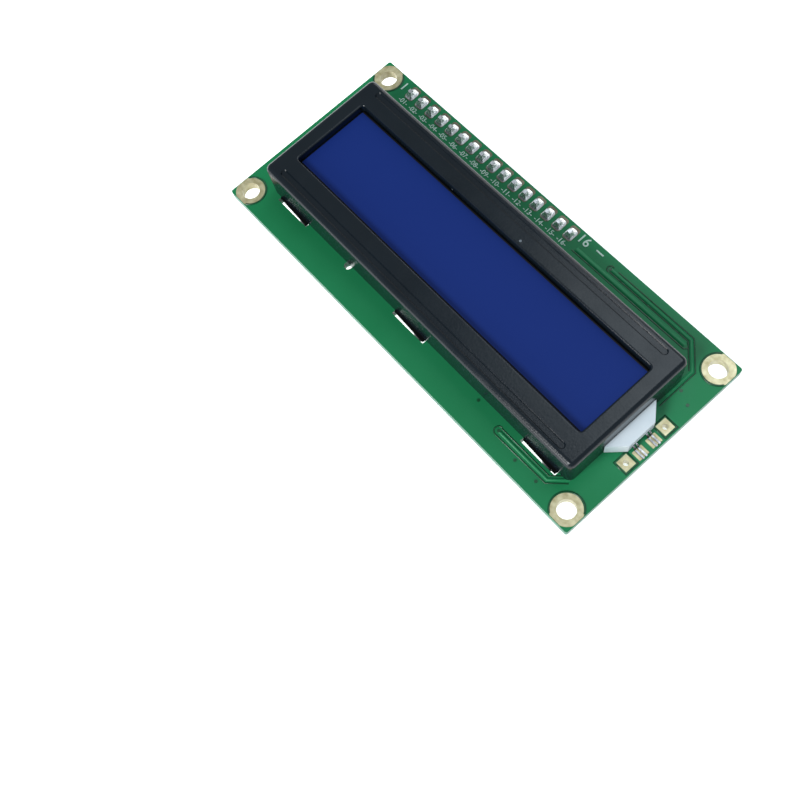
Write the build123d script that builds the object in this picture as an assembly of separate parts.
from build123d import *
import os

# A character display module with its serial adapter board, in millimetres. The origin is the
# centre of the four corner holes, on the front face of the display board. +X runs along the
# display, +Y points towards the long pin header and +Z points out of the screen.

# Display board
board_length = 80.0
board_width = 36.0
board_thickness = 1.6
board_corner = 0.4
hole_inset = 2.5
hole_diameter = 3.0
ring_diameter = 5.2
ring_edge_gap = 0.1
plating = 0.05

# Bezel, pressed from sheet steel. Its margins are measured in from the board's edges.
bezel_end_margin = 5.0
bezel_header_margin = 6.95
bezel_plain_margin = 5.45
bezel_sheet = 0.5
bezel_corner = 1.1
bezel_bend = 1.0
window_end_border = 3.0
window_side_border = 4.75
window_shift = 0.1
window_recess = 1.4
window_corner = 0.5
window_bend = 0.3
bead_end_border = 2.9
bead_border = 1.65
bead_width = 1.2
bead_depth = 0.25
bead_slope = 0.2

# Twisted tabs that hold the bezel, and the slots they pass through
tab_width = 4.8
tab_end_border = 5.9
tab_angle = 38.0
tab_start = 0.15
tab_twist_height = 1.1
tab_twist_steps = 6
tab_lean = 0.3
tab_reach = 1.9
slot_end_gap = 1.25
slot_inner_gap = 0.1
slot_outer_gap = 0.7
tab_land_width = 3.3

# Layers under the bezel, from the board up. Each gap is to the bezel's inside or to the glass.
reflector_thickness = 0.2
guide_thickness = 2.6
film_thickness = 0.2
glass_thickness = 1.1
glass_end_gap = 0.4
glass_side_gap = 1.0
glass_ledge = 2.1
guide_end_gap = 1.3
guide_side_gap = 0.2
film_end_gap = 1.1
film_side_gap = 0.25
strip_end_gap = 3.3
strip_side_gap = 0.3

# Lamp tab at the right-hand end of the light guide
lamp_shift = 0.2
lamp_tab_reach = 2.2
lamp_tab_slope = 2.6
lamp_tab_wall = 0.2
shroud_wall = 0.2
lamp_gap = 0.1
lamp_width = 4.2
lamp_depth = 1.0
lamp_height = 1.6
lead_pitch = 2.7
lead_prong_gap = 0.3
lead_width = 0.3
lead_sheet = 0.2
lead_rise = 0.9
lead_step = 0.5
lead_end_gap = 0.3
lead_land_width = 1.9
lead_land_end_gap = 0.45

# Epoxy drops over the two bare chips on the back of the display board
controller_radius = 6.8
driver_radius = 5.6
drop_height = 1.3

# Pin headers
pitch = 2.54
pin_width = 0.64
pin_hole = 1.0
block_height = 2.54
block_width = 2.5
block_chamfer = 0.4
header_count = 16
header_start = 8.0
header_inset = 2.1
front_pin_stub = 1.3
adapter_pin_stub = 1.2
joint_radius = 1.1
joint_height = 1.0
joint_tip = 0.55
tail_stub = 0.7
tail_joint_radius = 0.8
tail_joint_height = 0.5
bend_radius = 0.62

# Adapter board: as long as the header and its end margins, as wide as the rows that it carries
adapter_end_margin = 1.7
adapter_edge = 1.35
adapter_thickness = 1.6
chip_header_gap = 2.61
resistor_room = 4.99

# Serial header at the left-hand end of the adapter, jumper header at the right
serial_count = 4
serial_reach = 8.1
jumper_count = 2
jumper_end_gap = 0.15
block_inset = 0.05

# Jumper cap and the clip inside it
cap_gap = 0.2
cap_length = 5.0
cap_end_wall = 0.1
cap_side_wall = 0.5
cap_face_wall = 0.65
cap_lobe_length = 2.1
cap_lobe_width = 1.6
clip_sheet = 0.2
clip_grip_gap = 0.04
clip_pocket_gap = 0.04
clip_side_gap = 0.28
clip_arm_width = 0.9
clip_mouth = 0.4

# Expander chip
chip_width = 7.5
chip_end = 0.07
chip_height = 2.2
chip_stand = 0.15
chip_draft = 0.25
chip_notch = 0.7
chip_shift = 1.25
lead_count = 8
lead_spacing = 1.27
lead_overhang = 1.4
lead_blade = 0.42
lead_gauge = 0.25
lead_foot = 0.85
lead_bend = 0.25

# Trimmer
trimmer_size = 7.0
trimmer_height = 4.9
trimmer_edge = 0.25
trimmer_foot = 1.5
trimmer_foot_height = 0.5
rotor_radius = 1.45
rotor_thickness = 0.8
rotor_recess = 0.1
rotor_gap = 0.05
rotor_floor_gap = 0.1
spindle_radius = 0.8
spindle_length = 1.6
driver_slot = 0.55
driver_slot_depth = 0.5
trimmer_pin_pitch = 2.54
trimmer_pin_row = 1.27
trimmer_pin_width = 0.5

# Small surface-mount pieces: length, width, height and the length of each metal end
small_chip = (2.0, 1.25, 0.55, 0.4)
large_chip = (3.2, 1.6, 0.6, 0.5)
tall_chip = (2.0, 1.25, 1.0, 0.45)
land_overhang = 0.45

# Lands on the display board that carry nothing
large_land_pitch = 3.5
large_land = (1.5, 1.9)
small_land_pitch = 2.4
small_land = (1.5, 1.35)
empty_chip_span = 5.6
empty_chip_count = 4
empty_chip_land = (1.8, 0.55)
bridge_radius = 0.95
test_radius = 0.45
supply_land = 2.0
supply_hole = 0.9
supply_pitch = 8.0
lamp_hole = 0.9
lamp_ring = 1.8
tooling_diameter = 1.4

# Where the pieces on the back stand: in from an end or an edge, or up from the middle line
controller_in = 27.3
controller_up = -0.5
driver_in = 26.4
driver_up = 0.6
resistor_column_in = 9.15
resistor_column_up = 0.075
resistor_column_count = 6
resistor_column_gap = 0.79
single_resistor_in = 17.7
single_resistor_up = -3.9
small_lands_in = 17.6
small_lands_up = -6.3
tooling_in = 25.0
tooling_edge = 5.2
large_resistor_in = 19.8
large_resistor_edge = 5.4
large_lands_in = 10.1
large_lands_up = (-2.7, -6.2)
empty_chip_in = 10.45
empty_chip_up = 1.6
bridges_in = (8.0, 10.5, 12.9)
bridges_up = 5.7
test_in = (2.1, 2.2)
test_edge = (8.2, 7.6)
supply_in = 1.6
supply_up = -0.5

# Where the pieces on the adapter stand: in from an end, or down from the header
serial_drop = 7.85
jumper_drop = 6.8
trimmer_in = 9.2
trimmer_drop = 6.5
address_steps = (2.3, -0.2, -2.6)
address_edge = 3.5
upright_in = (6.83, 9.49, 12.1, 9.02)
upright_drop = (10.71, 10.71, 10.71, 5.7)
flat_steps = (8.43, 3.94, -0.55)
flat_edge = 2.44
capacitor_in = 11.5
capacitor_drop = 5.74
power_lamp_in = 4.34
power_lamp_drop = 10.8
transistor_in = 5.05
transistor_drop = 5.47

# Lands on the adapter
spare_land = (2.1, 0.6)
spare_gap = 0.55
address_pitch = 1.7
address_land = 1.0

# Transistor
transistor_length = 2.9
transistor_width = 1.3
transistor_height = 1.0
transistor_lead = (0.4, 0.15)
transistor_lead_pitch = 1.9
transistor_lead_reach = 0.55
transistor_bend = 0.12

# Heights above and below the front face of the display board
board_back = -board_thickness
adapter_back = board_back - block_height
adapter_face = adapter_back - adapter_thickness
guide_low = reflector_thickness
guide_high = guide_low + guide_thickness
diffuser_high = guide_high + film_thickness
rear_film_high = diffuser_high + film_thickness
rear_glass_high = rear_film_high + glass_thickness
front_glass_high = rear_glass_high + glass_thickness
front_film_high = front_glass_high + film_thickness
bezel_height = front_film_high + window_recess
pin_level = adapter_face - block_height - bend_radius

# The board's edges, its corner holes, and the bezel that stands inside them
left_end = -board_length / 2
right_end = board_length / 2
header_edge = board_width / 2
plain_edge = -board_width / 2
corner_places = [(x, y) for x in (left_end + hole_inset, right_end - hole_inset)
                 for y in (plain_edge + hole_inset, header_edge - hole_inset)]
bezel_length = board_length - 2 * bezel_end_margin
bezel_width = board_width - bezel_header_margin - bezel_plain_margin
bezel_y = (bezel_plain_margin - bezel_header_margin) / 2
wall_x = bezel_length / 2
wall_offset = (bezel_width - bezel_sheet) / 2
window_length = bezel_length - 2 * window_end_border
window_width = bezel_width - 2 * window_side_border
window_y = bezel_y + window_shift
bead_length = bezel_length - 2 * bead_end_border
bead_offset = bezel_width / 2 - bead_border
tab_pitch = bezel_length / 2 - tab_end_border
tab_places = (-tab_pitch, 0.0, tab_pitch)
slot_length = tab_width + 2 * slot_end_gap
slot_inner = bezel_width / 2 - bezel_sheet - slot_inner_gap

# The sheets and plates that the bezel presses on the board
front_glass_length = bezel_length - 2 * bezel_sheet - 2 * glass_end_gap
front_glass_width = bezel_width - 2 * bezel_sheet - 2 * glass_side_gap
rear_glass_width = front_glass_width - 2 * glass_ledge
guide_length = front_glass_length - 2 * guide_end_gap
guide_width = rear_glass_width - 2 * guide_side_gap
film_length = front_glass_length - 2 * film_end_gap
film_width = rear_glass_width - 2 * film_side_gap
strip_length = front_glass_length - 2 * strip_end_gap
strip_width = glass_ledge - 2 * strip_side_gap
strip_offset = (front_glass_width + rear_glass_width) / 4
lamp_y = bezel_y + lamp_shift
lamp_tab_narrow = lamp_width + 2 * lamp_gap + 2 * lamp_tab_wall
lamp_tab_wide = lamp_tab_narrow + 2 * lamp_tab_slope

# Places on the back of the display board, each in from the end that it is nearer to
controller_place = (left_end + controller_in, controller_up)
driver_place = (right_end - driver_in, driver_up)
resistor_column_x = left_end + resistor_column_in
resistor_column_room = 2 * (slot_inner - tab_land_width - resistor_column_gap)
resistor_column_step = resistor_column_room / resistor_column_count
resistor_column_y = bezel_y + resistor_column_up
single_resistor = (left_end + single_resistor_in, single_resistor_up)
empty_small_lands = ((left_end + small_lands_in, small_lands_up),)
tooling_place = (left_end + tooling_in, plain_edge + tooling_edge)
large_resistor = (right_end - large_resistor_in, header_edge - large_resistor_edge)
empty_large_lands = [(right_end - large_lands_in, up) for up in large_lands_up]
empty_chip_place = (right_end - empty_chip_in, empty_chip_up)
bridge_places = [(right_end - x, bridges_up) for x in bridges_in]
test_places = ((right_end - test_in[0], plain_edge + test_edge[0]),
               (left_end + test_in[1], header_edge - test_edge[1]))
supply_x = right_end - supply_in
supply_y = supply_up
lamp_hole_x = wall_x + lamp_tab_reach / 2

# The header, and the adapter that hangs behind the board from it
header_x = left_end + header_start + (header_count - 1) * pitch / 2
header_y = header_edge - header_inset
chip_length = lead_count * lead_spacing + 2 * chip_end
lead_span = chip_width + 2 * lead_overhang
adapter_length = (header_count - 1) * pitch + 2 * adapter_end_margin
adapter_width = adapter_edge + chip_header_gap + chip_length + resistor_room
adapter_x = header_x
adapter_y = header_y + adapter_edge - adapter_width / 2
adapter_left = adapter_x - adapter_length / 2
adapter_right = adapter_x + adapter_length / 2
adapter_low = adapter_y - adapter_width / 2
block_reach = block_width / 2 + block_inset
serial_x = adapter_left + block_reach
serial_y = header_y - serial_drop
jumper_x = adapter_right - block_reach
jumper_y = header_y - jumper_drop
cap_start = jumper_x + block_width / 2 + cap_gap
pocket_depth = cap_length - cap_end_wall
pocket_width = pitch + clip_arm_width + 2 * clip_side_gap
pocket_height = pin_width + 2 * (clip_grip_gap + clip_sheet + clip_pocket_gap)
cap_width = pocket_width + 2 * cap_side_wall
cap_height = pocket_height + 2 * cap_face_wall
jumper_reach = cap_start - jumper_x + pocket_depth - clip_sheet - jumper_end_gap

# Places on the adapter: the chip and trimmer from the header, the rest from the ends
chip_x = header_x + chip_shift
chip_y = header_y - chip_header_gap - chip_length / 2
spare_row_x = chip_x - lead_span / 2 - spare_gap - spare_land[0] / 2
trimmer_x = adapter_left + trimmer_in
trimmer_y = header_y - trimmer_drop
address_places = [(trimmer_x + step, adapter_low + address_edge) for step in address_steps]
upright_resistors = [(adapter_right - x, header_y - y) for x, y in zip(upright_in, upright_drop)]
flat_resistors = [(chip_x + x, adapter_low + flat_edge) for x in flat_steps]
capacitor_place = (adapter_right - capacitor_in, header_y - capacitor_drop)
power_lamp_place = (adapter_right - power_lamp_in, header_y - power_lamp_drop)
transistor_place = (adapter_right - transistor_in, header_y - transistor_drop)


def plate(length, width, low, high, x=0.0, y=0.0, corner=0.0):
    """A flat block between two heights, with its upright edges rounded."""
    outline = RectangleRounded(length, width, corner) if corner else Rectangle(length, width)
    return extrude(Pos(x, y, low) * outline, high - low)


def rod(radius, low, high, x=0.0, y=0.0):
    """A round bar between two heights."""
    return extrude(Pos(x, y, low) * Circle(radius), high - low)


def row(count, spacing, centre=0.0):
    """Evenly spaced places about a centre."""
    return [centre + (i - (count - 1) / 2) * spacing for i in range(count)]


def under(shape, x, y, face):
    """Turns a piece that is made standing on z = 0 over, and sets it on a face seen from below."""
    return Pos(x, y, face) * Rot(180, 0, 0) * shape


def bent_strip(points, radius, width, thickness):
    """A flat strip that follows a bent line in the XZ plane. Its width lies along Y."""
    line = FilletPolyline(*[(x, 0, z) for x, z in points], radius=radius)
    start = Plane(origin=line @ 0, x_dir=(0, 1, 0), z_dir=line % 0)
    return sweep(start * Rectangle(width, thickness), line)


def tab_slots(low, high):
    """The six slots for the bezel's tabs, as solid cutters."""
    outer = bezel_width / 2 + slot_outer_gap
    middle = (slot_inner + outer) / 2
    return [plate(slot_length, outer - slot_inner, low, high, x, bezel_y + side * middle)
            for x in tab_places for side in (-1, 1)]


def supply_places():
    return [(supply_x, y) for y in row(2, supply_pitch, supply_y)]


def lcd_board():
    low = board_back
    board = plate(board_length, board_width, low, 0, corner=board_corner)
    holes = [rod(hole_diameter / 2 + plating, low, 0, x, y) for x, y in corner_places]
    holes += [rod(pin_hole / 2, low, 0, x, header_y) for x in row(header_count, pitch, header_x)]
    holes += [rod(supply_hole / 2 + plating, low, 0, x, y) for x, y in supply_places()]
    holes += [rod(lamp_hole / 2 + plating, low, 0, lamp_hole_x, y) for y in row(2, lead_pitch, lamp_y)]
    holes += [rod(tooling_diameter / 2, low, 0, *tooling_place)]
    return [board - holes - tab_slots(low, 0)]


def corner_rings():
    """Plated eyelets through the corner holes, cut off short of the board's edges."""
    inside = plate(board_length - 2 * ring_edge_gap, board_width - 2 * ring_edge_gap,
                   board_back - plating, plating)
    rings = []
    for x, y in corner_places:
        flanges = rod(ring_diameter / 2, 0, plating, x, y)
        flanges += rod(ring_diameter / 2, board_back - plating, board_back, x, y)
        sleeve = rod(hole_diameter / 2 + plating, board_back, 0, x, y)
        bore = rod(hole_diameter / 2, board_back - plating, plating, x, y)
        rings.append(((flanges & inside) + sleeve) - bore)
    return rings


def tab_lands():
    """Bare plated rectangles beside the slots, on the back."""
    middle = slot_inner - tab_land_width / 2
    return [plate(slot_length, tab_land_width, board_back - plating, board_back, x, bezel_y + side * middle)
            for x in tab_places for side in (-1, 1)]


def eyelet(size, hole, x, y, square):
    """A plated hole with a land on each face of the display board."""
    land = plate if square else rod
    shape = (size, size) if square else (size / 2,)
    piece = rod(hole / 2 + plating, board_back, 0, x, y)
    for low in (board_back - plating, 0):
        piece += land(*shape, low, low + plating, x, y)
    return piece - rod(hole / 2, board_back - plating, plating, x, y)


def land_pair(place, spacing, size, low):
    x, y = place
    return [plate(size[0], size[1], low, low + plating, x + dx, y) for dx in (-spacing / 2, spacing / 2)]


def board_lands():
    low = board_back - plating
    lands = [eyelet(supply_land, supply_hole, x, y, True) for x, y in supply_places()]
    lands += [eyelet(lamp_ring, lamp_hole, lamp_hole_x, y, False) for y in row(2, lead_pitch, lamp_y)]
    for place in empty_large_lands:
        lands += land_pair(place, large_land_pitch, large_land, low)
    for place in empty_small_lands:
        lands += land_pair(place, small_land_pitch, small_land, low)
    x, middle = empty_chip_place
    for y in row(empty_chip_count, lead_spacing, middle):
        lands += land_pair((x, y), empty_chip_span, empty_chip_land, low)
    lands += [rod(bridge_radius, low, board_back, x, y) for x, y in bridge_places]
    lands += [rod(test_radius, low, board_back, x, y) for x, y in test_places]
    return lands


def lead_lands():
    """Tinned lands at the board's right-hand edge, under the lamp's leads."""
    start = wall_x + lamp_tab_reach + shroud_wall + lead_step
    end = right_end - lead_land_end_gap
    return [plate(end - start, lead_land_width, 0, plating, (start + end) / 2, y)
            for y in row(2, lead_pitch, lamp_y)]


def twisted_tab(x, side):
    """One tab: straight through the slot, twisted and leant in behind the board, then straight again."""
    y = bezel_y + side * wall_offset
    start = board_back - tab_start
    shares = [step / tab_twist_steps for step in range(tab_twist_steps + 1)]
    sections = [Pos(x, y - side * tab_lean * share, start - tab_twist_height * share)
                * Rot(0, 0, -tab_angle * share) * Rectangle(tab_width, bezel_sheet) for share in shares]
    stem = plate(tab_width, bezel_sheet, start, bezel_sheet, x, y)
    tip = extrude(sections[-1], tab_reach - tab_start - tab_twist_height, dir=(0, 0, -1))
    return stem + loft(sections, ruled=True) + tip


def bead(y, grow, low, high):
    """A long rounded trough with sloping flanks, widest at the top."""
    top = bead_width + 2 * grow
    floor = top - 2 * bead_slope
    return loft([Pos(0, y, low) * SlotOverall(bead_length + 2 * grow - 2 * bead_slope, floor),
                 Pos(0, y, high) * SlotOverall(bead_length + 2 * grow, top)], ruled=True)


def bezel():
    """A pressed tray, open below, with a lipped window, two stiffening beads and six tabs."""
    inner_length = bezel_length - 2 * bezel_sheet
    inner_width = bezel_width - 2 * bezel_sheet
    inner_top = bezel_height - bezel_sheet
    tray = plate(bezel_length, bezel_width, 0, bezel_height, 0, bezel_y, bezel_corner)
    tray = fillet(tray.faces().sort_by(Axis.Z)[-1].edges(), bezel_bend)
    hollow = plate(inner_length, inner_width, 0, inner_top, 0, bezel_y, bezel_corner - bezel_sheet)
    hollow = fillet(hollow.faces().sort_by(Axis.Z)[-1].edges(), bezel_bend - bezel_sheet)
    tray -= hollow
    tray += plate(window_length + 2 * bezel_sheet, window_width + 2 * bezel_sheet, front_film_high,
                  inner_top + bezel_sheet / 2, 0, window_y, window_corner + bezel_sheet)
    tray -= plate(window_length, window_width, front_film_high, bezel_height, 0, window_y, window_corner)
    rim = [edge for edge in tray.edges().group_by(Axis.Z)[-1]
           if abs(edge.center().X) < window_length / 2 + bezel_sheet / 2
           and abs(edge.center().Y - window_y) < window_width / 2 + bezel_sheet / 2]
    tray = fillet(rim, window_bend)
    for side in (-1, 1):
        y = bezel_y + side * bead_offset
        tray += bead(y, bezel_sheet / 2, inner_top - bead_depth, inner_top)
        tray -= bead(y, 0, bezel_height - bead_depth, bezel_height)
    notch_width = lamp_tab_wide + 2 * shroud_wall + 2 * lamp_gap
    tray -= plate(4 * bezel_sheet, notch_width, 0, guide_high + shroud_wall + lamp_gap,
                  wall_x - bezel_sheet, lamp_y)
    for x in tab_places:
        for side in (-1, 1):
            tray += twisted_tab(x, side)
    return [tray]


def lamp_tab(low, high, grow=0.0):
    """The tapered tab outside the bezel's wall, widened by grow on its sides and end."""
    start = wall_x + lamp_gap
    end = wall_x + lamp_tab_reach + grow
    wide = lamp_tab_wide / 2 + grow
    narrow = lamp_tab_narrow / 2 + grow
    outline = [(start, -wide), (end, -narrow), (end, narrow), (start, wide)]
    face = make_face(Polyline(*outline, close=True))
    return extrude(Pos(0, lamp_y, low) * face, high - low)


def light_guide():
    """A clear slab with a neck through the bezel's wall and the tapered tab beyond it."""
    guide = plate(guide_length, guide_width, guide_low, guide_high, 0, window_y)
    neck_start = guide_length / 2
    neck_end = wall_x + lamp_gap
    guide += plate(neck_end - neck_start, lamp_tab_wide, guide_low, guide_high,
                   (neck_start + neck_end) / 2, lamp_y)
    guide += lamp_tab(guide_low, guide_high)
    pocket_high = guide_low + lamp_height + lamp_gap
    guide -= plate(lamp_depth + lamp_gap, lamp_width + 2 * lamp_gap, guide_low, pocket_high,
                   wall_x + lamp_tab_reach - (lamp_depth + lamp_gap) / 2, lamp_y)
    return [guide]


def lamp_shroud():
    """White film folded over the tab, open below and where the leads come out."""
    shroud = lamp_tab(guide_low, guide_high + shroud_wall, shroud_wall) - lamp_tab(guide_low, guide_high)
    exit_high = lead_rise + lead_sheet
    exit_width = lead_pitch + lead_prong_gap + 2 * lead_width + 2 * lamp_gap
    return [shroud - plate(2 * shroud_wall, exit_width, guide_low, exit_high,
                           wall_x + lamp_tab_reach + shroud_wall, lamp_y)]


def backlight_lamp():
    middle = wall_x + lamp_tab_reach - lamp_depth / 2
    return [plate(lamp_depth, lamp_width, guide_low, guide_low + lamp_height, middle, lamp_y)]


def lamp_leads():
    """Two forked strips that step down from the lamp to the lands at the board's edge."""
    start = wall_x + lamp_tab_reach
    high = lead_rise
    low = plating + lead_sheet / 2
    step = start + shroud_wall + lead_step / 2
    points = [(start, high), (step, high), (step + lead_step / 2, low), (right_end - lead_end_gap, low)]
    prong = bent_strip(points, lead_sheet, lead_width, lead_sheet)
    fork_width = lead_prong_gap + 2 * lead_width
    bar = plate(shroud_wall, fork_width, high - lead_sheet / 2, high + lead_sheet / 2, start + shroud_wall / 2)
    spread = (lead_prong_gap + lead_width) / 2
    fork = bar + Pos(0, -spread, 0) * prong + Pos(0, spread, 0) * prong
    return [Pos(0, y, 0) * fork for y in row(2, lead_pitch, lamp_y)]


def contact_strips():
    return [plate(strip_length, strip_width, 0, rear_glass_high, 0, bezel_y + side * strip_offset)
            for side in (-1, 1)]


def epoxy_drop(radius, x, y):
    """A low dome with a round outline, the cap of a large ball."""
    ball = (radius ** 2 + drop_height ** 2) / (2 * drop_height)
    dome = Pos(0, 0, drop_height - ball) * Sphere(ball) & plate(2 * ball, 2 * ball, 0, drop_height)
    return under(dome, x, y, board_back)


def chip_part(size, turn=0):
    """A two-ended chip standing on z = 0: its body and its two metal ends."""
    length, width, height, end = size
    turned = Rot(0, 0, turn)
    body = turned * plate(length - 2 * end, width, 0, height)
    ends = [turned * plate(end, width, 0, height, side * (length - end) / 2) for side in (-1, 1)]
    return body, ends


def chip_lands(size, low, place, turn=0):
    """The two lands under a chip, showing beyond its ends."""
    length, width, _, end = size
    reach = end + land_overhang
    x, y = place
    return [Pos(x, y, low) * Rot(0, 0, turn) *
            plate(reach, width, 0, plating, side * (length / 2 - end + reach / 2)) for side in (-1, 1)]


def board_chip_places():
    column = [(resistor_column_x, y)
              for y in row(resistor_column_count, resistor_column_step, resistor_column_y)]
    return [(small_chip, place) for place in column + [single_resistor]] + [(large_chip, large_resistor)]


def placed_chips(chips, face, turn=0):
    """The bodies, ends and lands of chips that hang under a face."""
    bodies = []
    ends = []
    lands = []
    for size, (x, y) in chips:
        body, metal = chip_part(size, turn)
        bodies.append(under(body, x, y, face - plating))
        ends += [under(piece, x, y, face - plating) for piece in metal]
        lands += chip_lands(size, face - plating, (x, y), turn)
    return bodies, ends, lands


def pin_block(count):
    """A strip of chamfered squares joined end to end, along X, with a square hole in each."""
    half = block_width / 2
    side = pitch / 2
    outline = []
    for face in (-1, 1):
        for place in row(count, pitch) if face < 0 else reversed(row(count, pitch)):
            lean = -face
            outline += [(place - lean * side, face * (half - block_chamfer)),
                        (place - lean * (side - block_chamfer), face * half),
                        (place + lean * (side - block_chamfer), face * half),
                        (place + lean * side, face * (half - block_chamfer))]
    points = [point for i, point in enumerate(outline) if i == 0 or point != outline[i - 1]]
    block = extrude(make_face(Polyline(*points, close=True)), block_height)
    return block - [plate(pin_width, pin_width, 0, block_height, x) for x in row(count, pitch)]


def solder_cone(radius, height, tip, pin):
    """A hollow-sided cone of solder round a square pin, standing on z = 0."""
    flank = ThreePointArc((radius, 0), (tip + (radius - tip) * 0.3, height * 0.45), (tip, height))
    outline = make_face(Line((0, 0), (radius, 0)) + flank + Line((tip, height), (0, height))
                        + Line((0, height), (0, 0)))
    return revolve(Plane.XZ * outline, Axis.Z) - plate(pin, pin, 0, height)


def header_pins():
    return [plate(pin_width, pin_width, adapter_face - adapter_pin_stub, front_pin_stub, x, header_y)
            for x in row(header_count, pitch, header_x)]


def front_joints():
    cone = solder_cone(joint_radius, joint_height, joint_tip, pin_width)
    return [Pos(x, header_y, 0) * cone for x in row(header_count, pitch, header_x)]


def adapter_joints():
    cone = solder_cone(joint_radius, joint_height, joint_tip, pin_width)
    return [under(cone, x, header_y, adapter_face) for x in row(header_count, pitch, header_x)]


def trimmer_pin_places():
    return [(trimmer_x - trimmer_pin_pitch, trimmer_y - trimmer_pin_row),
            (trimmer_x, trimmer_y + trimmer_pin_row),
            (trimmer_x + trimmer_pin_pitch, trimmer_y - trimmer_pin_row)]


def tail_joints():
    """Solder round the tails of the angled pins and the trimmer, between the two boards."""
    pin_cone = solder_cone(tail_joint_radius, tail_joint_height, joint_tip, pin_width)
    trimmer_cone = solder_cone(tail_joint_radius, tail_joint_height, joint_tip, trimmer_pin_width)
    joints = [Pos(serial_x, y, adapter_back) * pin_cone for y in row(serial_count, pitch, serial_y)]
    joints += [Pos(jumper_x, y, adapter_back) * pin_cone for y in row(jumper_count, pitch, jumper_y)]
    return joints + [Pos(x, y, adapter_back) * trimmer_cone for x, y in trimmer_pin_places()]


def adapter_board():
    low = adapter_face
    high = adapter_back
    board = plate(adapter_length, adapter_width, low, high, adapter_x, adapter_y)
    places = [(x, header_y) for x in row(header_count, pitch, header_x)]
    places += [(serial_x, y) for y in row(serial_count, pitch, serial_y)]
    places += [(jumper_x, y) for y in row(jumper_count, pitch, jumper_y)]
    places += trimmer_pin_places()
    return [board - [rod(pin_hole / 2, low, high, x, y) for x, y in places]]


def adapter_chip_sets():
    upright = placed_chips([(small_chip, place) for place in upright_resistors], adapter_face, 90)
    flat = placed_chips([(small_chip, place) for place in flat_resistors], adapter_face)
    return [first + second for first, second in zip(upright, flat)]


def adapter_lands(chip_pads):
    low = adapter_face - plating
    lands = list(chip_pads)
    lands += [plate(*spare_land, low, adapter_face, spare_row_x, y)
              for y in row(lead_count, lead_spacing, chip_y)]
    for x, y in address_places:
        lands += [plate(address_land, address_land, low, adapter_face, x, y + dy)
                  for dy in (-address_pitch / 2, address_pitch / 2)]
    return lands


def expander_chip():
    """A moulded body with drafted sides, a pin-one dimple and a notch in one end."""
    low = chip_stand
    middle = low + chip_height / 2
    high = low + chip_height
    waist = Pos(0, 0, middle) * Rectangle(chip_width, chip_length)
    face = Rectangle(chip_width - 2 * chip_draft, chip_length - 2 * chip_draft)
    body = loft([Pos(0, 0, low) * face, waist], ruled=True) + loft([waist, Pos(0, 0, high) * face], ruled=True)
    body -= rod(chip_notch, high - lead_gauge, high, 0, chip_length / 2 - chip_draft)
    body -= rod(chip_notch / 2, high - lead_gauge / 2, high, -chip_width / 2 + 2 * chip_notch,
                chip_length / 2 - 2 * chip_notch)
    return [under(body, chip_x, chip_y, adapter_face)]


def expander_leads():
    """Gull-wing leads down both long sides."""
    middle = chip_stand + chip_height / 2
    foot = lead_gauge / 2
    tip = lead_span / 2
    knee = chip_width / 2 + lead_bend + lead_gauge
    points = [(chip_width / 2, middle), (knee, middle), (tip - lead_foot, foot), (tip, foot)]
    lead = bent_strip(points, lead_bend, lead_blade, lead_gauge)
    leads = []
    for y in row(lead_count, lead_spacing):
        leads.append(under(Pos(0, y, 0) * lead, chip_x, chip_y, adapter_face))
        leads.append(under(Rot(0, 0, 180) * Pos(0, y, 0) * lead, chip_x, chip_y, adapter_face))
    return leads


def trimmer_body():
    """A square housing on four feet, bored for the rotor and its spindle."""
    high = trimmer_height
    body = plate(trimmer_size, trimmer_size, trimmer_foot_height, high, corner=trimmer_edge)
    body = chamfer(body.faces().sort_by(Axis.Z)[-1].edges(), trimmer_edge)
    step = (trimmer_size - trimmer_foot) / 2
    for x in (-step, step):
        for y in (-step, step):
            body += plate(trimmer_foot, trimmer_foot, 0, trimmer_foot_height, x, y, trimmer_edge)
    rotor_low = high - rotor_recess - rotor_thickness - rotor_floor_gap
    body -= rod(rotor_radius + rotor_gap, rotor_low, high)
    body -= rod(spindle_radius + rotor_gap, rotor_low - spindle_length, rotor_low)
    return [under(body, trimmer_x, trimmer_y, adapter_face)]


def trimmer_rotor():
    """A brass disc with a cross slot, on a short spindle."""
    high = trimmer_height - rotor_recess
    low = high - rotor_thickness
    rotor = rod(rotor_radius, low, high) + rod(spindle_radius, low - spindle_length, low)
    floor = high - driver_slot_depth
    for size in ((2 * rotor_radius, driver_slot), (driver_slot, 2 * rotor_radius)):
        rotor -= plate(*size, floor, high)
    return [under(rotor, trimmer_x, trimmer_y, adapter_face)]


def trimmer_pins():
    """Pins from the underside of the housing through the adapter board."""
    low = adapter_face - trimmer_foot_height
    high = adapter_back + tail_stub
    return [plate(trimmer_pin_width, trimmer_pin_width, low, high, x, y) for x, y in trimmer_pin_places()]


def angled_pin(x, y, direction, reach):
    """A pin that comes up through the board and its block, then turns outwards."""
    points = [(x, adapter_back + tail_stub), (x, pin_level), (x + direction * reach, pin_level)]
    return Pos(0, y, 0) * bent_strip(points, bend_radius, pin_width, pin_width)


def upright_block(count, x, y):
    return under(Rot(0, 0, 90) * pin_block(count), x, y, adapter_face)


def jumper_cap():
    """A black sleeve over the two jumper pins, with two lobes at its closed end."""
    start = cap_start
    end = start + cap_length
    low = pin_level - cap_height / 2
    high = pin_level + cap_height / 2
    cap = plate(cap_length, cap_width, low, high, (start + end) / 2, jumper_y)
    for side in (-1, 1):
        cap += plate(cap_lobe_length, cap_lobe_width, low, high, end + cap_lobe_length / 2,
                     jumper_y + side * (cap_width - cap_lobe_width) / 2)
    cap -= plate(pocket_depth, pocket_width, pin_level - pocket_height / 2, pin_level + pocket_height / 2,
                 start + pocket_depth / 2, jumper_y)
    return [cap]


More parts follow.
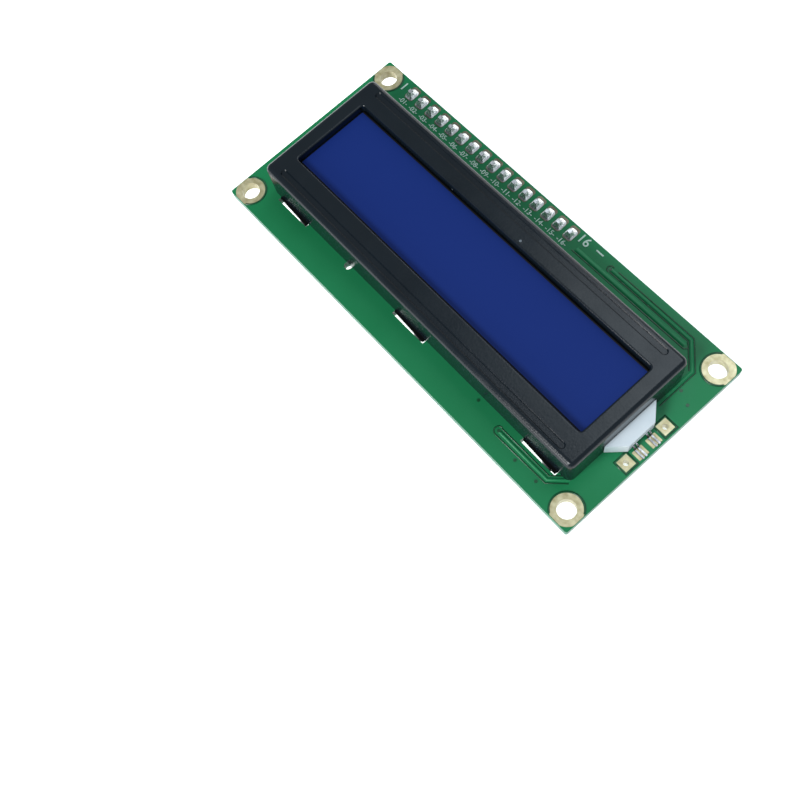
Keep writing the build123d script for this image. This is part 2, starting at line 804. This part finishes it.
def jumper_clip():
    """A sprung metal clip in the cap: a web at the bottom of the pocket and an arm each side of a pin."""
    pocket_end = cap_start + pocket_depth
    arm_length = pocket_depth - clip_mouth
    middle = pocket_end - arm_length / 2
    inner = pin_width / 2 + clip_grip_gap
    outer = inner + clip_sheet
    clip = plate(clip_sheet, pitch + clip_arm_width, pin_level - outer, pin_level + outer,
                 pocket_end - clip_sheet / 2, jumper_y)
    for y in row(jumper_count, pitch, jumper_y):
        clip += plate(arm_length, clip_arm_width, pin_level + inner, pin_level + outer, middle, y)
        clip += plate(arm_length, clip_arm_width, pin_level - outer, pin_level - inner, middle, y)
    return [clip]


def transistor():
    """A small moulded body with one lead on one side and two on the other."""
    low = transistor_lead[1] / 2
    body = plate(transistor_length, transistor_width, low, transistor_height)
    body = chamfer(body.faces().sort_by(Axis.Z)[-1].edges(), transistor_lead[1])
    blade, gauge = transistor_lead
    middle = transistor_height / 2
    edge = transistor_width / 2
    out = edge + transistor_lead_reach
    knee = edge + transistor_lead_reach / 2
    points = [(edge, middle), (knee, middle), (knee, gauge / 2), (out + gauge, gauge / 2)]
    lead = bent_strip(points, transistor_bend, blade, gauge)
    leads = [Rot(0, 0, 270) * lead]
    leads += [Pos(x, 0, 0) * Rot(0, 0, 90) * lead for x in row(2, transistor_lead_pitch)]
    x, y = transistor_place
    return under(body, x, y, adapter_face), [under(piece, x, y, adapter_face) for piece in leads]


def power_lamp():
    """A chip lamp: a base with a narrower clear top, and its two metal ends."""
    length, width, height, end = small_chip
    body = plate(length - 2 * end, width, 0, height)
    ends = [plate(end, width, 0, height, side * (length - end) / 2) for side in (-1, 1)]
    lens = plate(length - 2 * end, width, height, 2 * height)
    lens = chamfer(lens.faces().sort_by(Axis.Z)[-1].edges(), plating * 2)
    x, y = power_lamp_place
    turned = Rot(0, 0, 90)
    return (under(turned * (body + lens), x, y, adapter_face - plating),
            [under(turned * piece, x, y, adapter_face - plating) for piece in ends])


def save(node, pieces):
    """Writes the separate solids of one node to one file."""
    solids = [solid for piece in pieces for solid in piece.solids()]
    shape = solids[0] if len(solids) == 1 else Compound(children=solids)
    export_step(shape, os.path.join("parts", node + ".step"))


def main():
    os.makedirs("parts", exist_ok=True)
    save("lcd_board", lcd_board())
    save("corner_rings", corner_rings())
    save("tab_lands", tab_lands())
    save("lead_lands", lead_lands())
    save("bezel", bezel())
    save("reflector_sheet", [plate(guide_length, guide_width, 0, guide_low, 0, window_y)])
    save("light_guide", light_guide())
    save("diffuser_sheet", [plate(guide_length, guide_width, guide_high, diffuser_high, 0, window_y)])
    save("rear_polarizer", [plate(film_length, film_width, diffuser_high, rear_film_high, 0, window_y)])
    save("rear_glass", [plate(front_glass_length, rear_glass_width, rear_film_high, rear_glass_high,
                              0, bezel_y)])
    save("front_glass", [plate(front_glass_length, front_glass_width, rear_glass_high, front_glass_high,
                               0, bezel_y)])
    save("front_polarizer", [plate(film_length, film_width, front_glass_high, front_film_high,
                                   0, window_y)])
    save("contact_strips", contact_strips())
    save("lamp_shroud", lamp_shroud())
    save("backlight_lamp", backlight_lamp())
    save("lamp_leads", lamp_leads())
    save("controller_drop", [epoxy_drop(controller_radius, *controller_place)])
    save("driver_drop", [epoxy_drop(driver_radius, *driver_place)])

    bodies, ends, pads = placed_chips(board_chip_places(), board_back)
    save("board_resistors", bodies)
    save("board_resistor_ends", ends)
    save("board_lands", board_lands() + pads)

    save("header_block", [under(pin_block(header_count), header_x, header_y, board_back)])
    save("header_pins", header_pins())
    save("front_joints", front_joints())
    save("adapter_joints", adapter_joints())
    save("adapter_board", adapter_board())
    save("tail_joints", tail_joints())
    save("expander_chip", expander_chip())
    save("expander_leads", expander_leads())
    save("trimmer_body", trimmer_body())
    save("trimmer_rotor", trimmer_rotor())
    save("trimmer_pins", trimmer_pins())
    save("serial_block", [upright_block(serial_count, serial_x, serial_y)])
    save("serial_pins", [angled_pin(serial_x, y, -1, serial_reach)
                         for y in row(serial_count, pitch, serial_y)])
    save("jumper_block", [upright_block(jumper_count, jumper_x, jumper_y)])
    save("jumper_pins", [angled_pin(jumper_x, y, 1, jumper_reach)
                         for y in row(jumper_count, pitch, jumper_y)])
    save("jumper_cap", jumper_cap())
    save("jumper_clip", jumper_clip())

    body, leads = transistor()
    save("transistor_body", [body])
    save("transistor_leads", leads)
    body, ends = power_lamp()
    save("power_lamp", [body])
    save("power_lamp_ends", ends)
    bodies, ends, pads = adapter_chip_sets()
    save("adapter_resistors", bodies)
    save("adapter_resistor_ends", ends)
    bodies, ends, cap_pads = placed_chips([(tall_chip, capacitor_place)], adapter_face, 90)
    save("adapter_capacitor", bodies)
    save("adapter_capacitor_ends", ends)
    lamp_pads = chip_lands(small_chip, adapter_face - plating, power_lamp_place, 90)
    save("adapter_lands", adapter_lands(pads + cap_pads + lamp_pads))


main()
